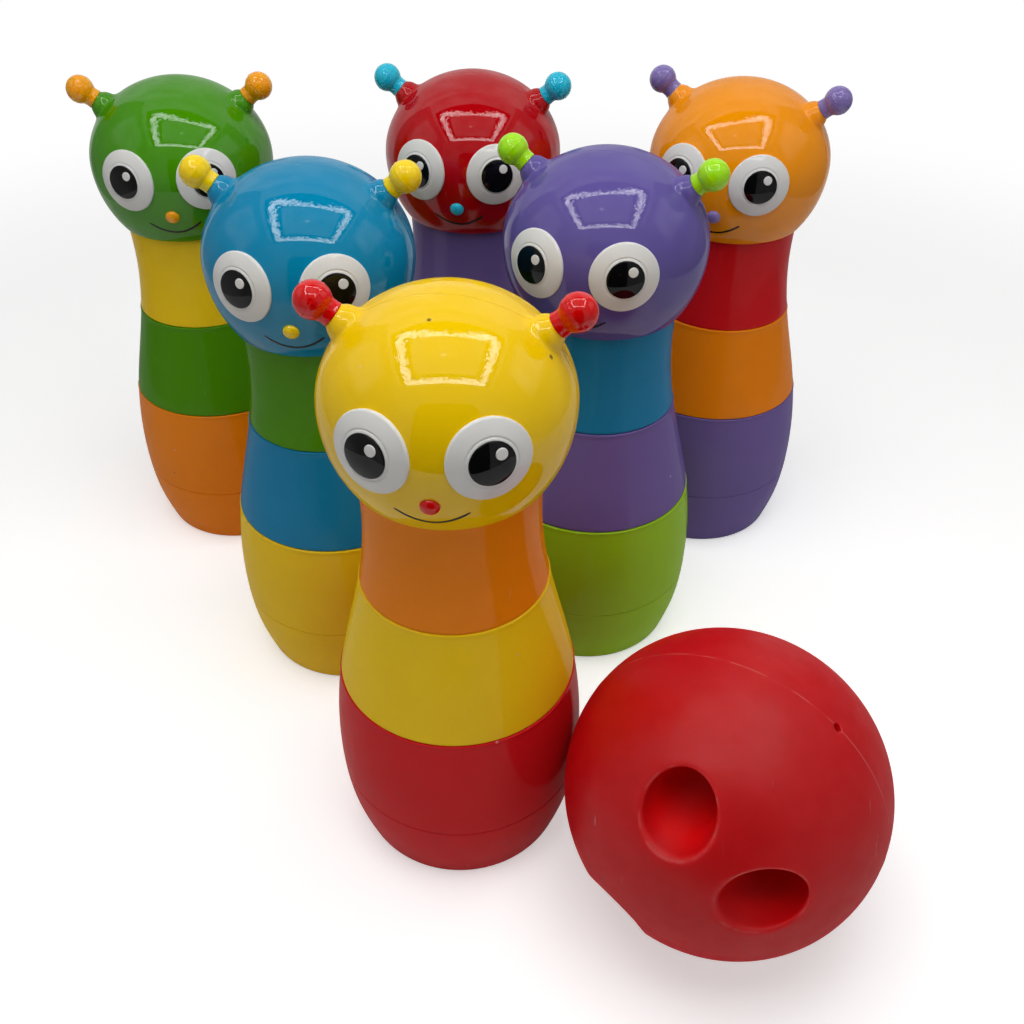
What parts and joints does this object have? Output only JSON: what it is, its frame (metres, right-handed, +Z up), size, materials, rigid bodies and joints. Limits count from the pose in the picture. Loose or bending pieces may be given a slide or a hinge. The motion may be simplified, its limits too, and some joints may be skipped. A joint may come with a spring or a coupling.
{
  "type": "toy bowling set",
  "caption": "Toddler bowling set: banded plastic pins with round bug heads and ball-tipped antennae, and a ball with finger holes.",
  "frame": {"origin": "on the floor, under the middle of the front pin's foot", "axes": "+Z up, +Y away from the bowler towards the back row, +X to the bowler's right; every face looks towards -Y"},
  "size_m": [0.3103, 0.32, 0.2055],
  "materials": {
    "band_red": "satin moulded plastic",
    "band_yellow": "satin moulded plastic",
    "band_orange": "satin moulded plastic",
    "head_yellow": "high gloss moulded plastic",
    "tip_red": "gloss moulded plastic",
    "eye_white": "gloss white plastic with a black pupil",
    "band_blue": "satin moulded plastic",
    "band_green": "satin moulded plastic",
    "head_blue": "high gloss moulded plastic",
    "tip_yellow": "gloss moulded plastic",
    "band_lime": "satin moulded plastic",
    "band_purple": "satin moulded plastic",
    "head_purple": "high gloss moulded plastic",
    "tip_lime": "gloss moulded plastic",
    "head_green": "high gloss moulded plastic",
    "tip_orange": "gloss moulded plastic",
    "band_sky_blue": "satin moulded plastic",
    "head_red": "high gloss moulded plastic",
    "tip_sky_blue": "gloss moulded plastic",
    "head_orange": "high gloss moulded plastic",
    "tip_purple": "gloss moulded plastic",
    "ball_red": "satin soft vinyl with a parting line"
  },
  "bodies": {
    "front_pin": {"front_pin_base_band": "band_red", "front_pin_middle_band": "band_yellow", "front_pin_neck_band": "band_orange", "front_pin_head_front": "head_yellow", "front_pin_head_back": "head_yellow", "front_pin_antenna_tip_left": "tip_red", "front_pin_eye_plate_left": "eye_white", "front_pin_antenna_tip_right": "tip_red", "front_pin_eye_plate_right": "eye_white"},
    "mid_left_pin": {"mid_left_pin_base_band": "band_yellow", "mid_left_pin_middle_band": "band_blue", "mid_left_pin_neck_band": "band_green", "mid_left_pin_head_front": "head_blue", "mid_left_pin_head_back": "head_blue", "mid_left_pin_antenna_tip_left": "tip_yellow", "mid_left_pin_eye_plate_left": "eye_white", "mid_left_pin_antenna_tip_right": "tip_yellow", "mid_left_pin_eye_plate_right": "eye_white"},
    "mid_right_pin": {"mid_right_pin_base_band": "band_lime", "mid_right_pin_middle_band": "band_purple", "mid_right_pin_neck_band": "band_blue", "mid_right_pin_head_front": "head_purple", "mid_right_pin_head_back": "head_purple", "mid_right_pin_antenna_tip_left": "tip_lime", "mid_right_pin_eye_plate_left": "eye_white", "mid_right_pin_antenna_tip_right": "tip_lime", "mid_right_pin_eye_plate_right": "eye_white"},
    "back_left_pin": {"back_left_pin_base_band": "band_orange", "back_left_pin_middle_band": "band_green", "back_left_pin_neck_band": "band_yellow", "back_left_pin_head_front": "head_green", "back_left_pin_head_back": "head_green", "back_left_pin_antenna_tip_left": "tip_orange", "back_left_pin_eye_plate_left": "eye_white", "back_left_pin_antenna_tip_right": "tip_orange", "back_left_pin_eye_plate_right": "eye_white"},
    "back_middle_pin": {"back_middle_pin_base_band": "band_sky_blue", "back_middle_pin_middle_band": "band_red", "back_middle_pin_neck_band": "band_purple", "back_middle_pin_head_front": "head_red", "back_middle_pin_head_back": "head_red", "back_middle_pin_antenna_tip_left": "tip_sky_blue", "back_middle_pin_eye_plate_left": "eye_white", "back_middle_pin_antenna_tip_right": "tip_sky_blue", "back_middle_pin_eye_plate_right": "eye_white"},
    "back_right_pin": {"back_right_pin_base_band": "band_purple", "back_right_pin_middle_band": "band_orange", "back_right_pin_neck_band": "band_red", "back_right_pin_head_front": "head_orange", "back_right_pin_head_back": "head_orange", "back_right_pin_antenna_tip_left": "tip_purple", "back_right_pin_eye_plate_left": "eye_white", "back_right_pin_antenna_tip_right": "tip_purple", "back_right_pin_eye_plate_right": "eye_white"},
    "ball": {"ball": "ball_red"}
  },
  "joints": [
    {"name": "mid_left_pin_tip", "type": "hinge", "parent": "front_pin", "child": "mid_left_pin", "pos_m": [-0.08745, 0.07773, 0.00301], "axis": [0.342, -0.9397, 0], "range_deg": [0, 90]},
    {"name": "mid_right_pin_tip", "type": "hinge", "parent": "front_pin", "child": "mid_right_pin", "pos_m": [0.08671, 0.08684, 0.00301], "axis": [0.3907, 0.9205, 0], "range_deg": [0, 90]},
    {"name": "back_left_pin_tip", "type": "hinge", "parent": "front_pin", "child": "back_left_pin", "pos_m": [-0.1496, 0.2014, 0.00301], "axis": [-0.5, -0.866, 0], "range_deg": [0, 90]},
    {"name": "back_middle_pin_tip", "type": "hinge", "parent": "front_pin", "child": "back_middle_pin", "pos_m": [0.0026, 0.22829, 0.00301], "axis": [-1, 0, 0], "range_deg": [0, 90]},
    {"name": "back_right_pin_tip", "type": "hinge", "parent": "front_pin", "child": "back_right_pin", "pos_m": [0.1446, 0.1989, 0.00301], "axis": [-0.5, 0.866, 0], "range_deg": [0, 90]},
    {"name": "ball_roll", "type": "hinge", "parent": "front_pin", "child": "ball", "pos_m": [0.08549, -0.03842, 0.0508], "axis": [-1, 0, 0], "continuous": true}
  ]
}
